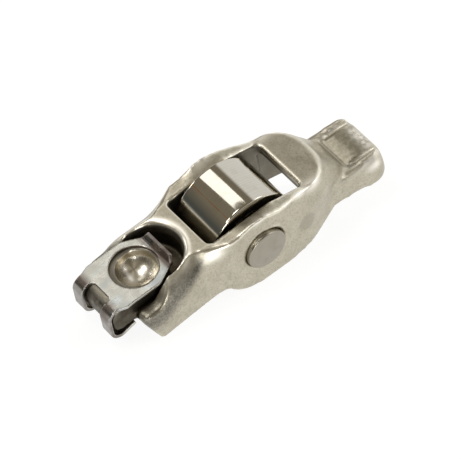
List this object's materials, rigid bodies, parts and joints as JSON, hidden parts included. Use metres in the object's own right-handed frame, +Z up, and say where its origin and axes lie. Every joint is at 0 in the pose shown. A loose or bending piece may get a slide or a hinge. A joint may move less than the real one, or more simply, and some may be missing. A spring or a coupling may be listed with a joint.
{
  "type": "rocker arm",
  "caption": "Roller finger follower: a cast arm with a ball socket, a needle roller on a staked pin, a valve pad and a spring clip.",
  "frame": {"origin": "centre of the ball socket's mouth", "axes": "+X to the valve end, +Y across the arm, +Z up with the arm lying on its roller and the front feet of its side walls"},
  "size_m": [0.0588, 0.0188, 0.0168],
  "materials": {
    "cast_steel": "investment-cast steel, warm champagne grey, matt with rubbed bright edges",
    "pin_steel": "hardened pin, turned end face with a bright rim",
    "ground_steel": "ground and polished bearing steel",
    "spring_steel": "stamped spring steel, light bluish grey, brown at the bends",
    "needle_steel": "polished bearing steel"
  },
  "bodies": {
    "arm": {"arm": "cast_steel", "axle_pin": "pin_steel", "retaining_clip": "spring_steel"},
    "roller": {"roller": "ground_steel"},
    "needles": {"needle_01": "needle_steel", "needle_02": "needle_steel", "needle_03": "needle_steel", "needle_04": "needle_steel", "needle_05": "needle_steel", "needle_06": "needle_steel", "needle_07": "needle_steel", "needle_08": "needle_steel", "needle_09": "needle_steel", "needle_10": "needle_steel", "needle_11": "needle_steel", "needle_12": "needle_steel", "needle_13": "needle_steel", "needle_14": "needle_steel", "needle_15": "needle_steel", "needle_16": "needle_steel", "needle_17": "needle_steel", "needle_18": "needle_steel"}
  },
  "joints": [
    {"name": "roller_spin", "type": "hinge", "parent": "arm", "child": "roller", "pos_m": [0.02006, 0, -0.00146], "axis": [0, 1, 0], "continuous": true},
    {"name": "needle_orbit", "type": "hinge", "parent": "arm", "child": "needles", "pos_m": [0.02006, 0, -0.00146], "axis": [0, 1, 0], "continuous": true}
  ],
  "couplings": [
    {"joint": "needle_orbit", "follows": "roller_spin", "ratio": 0.59043}
  ]
}
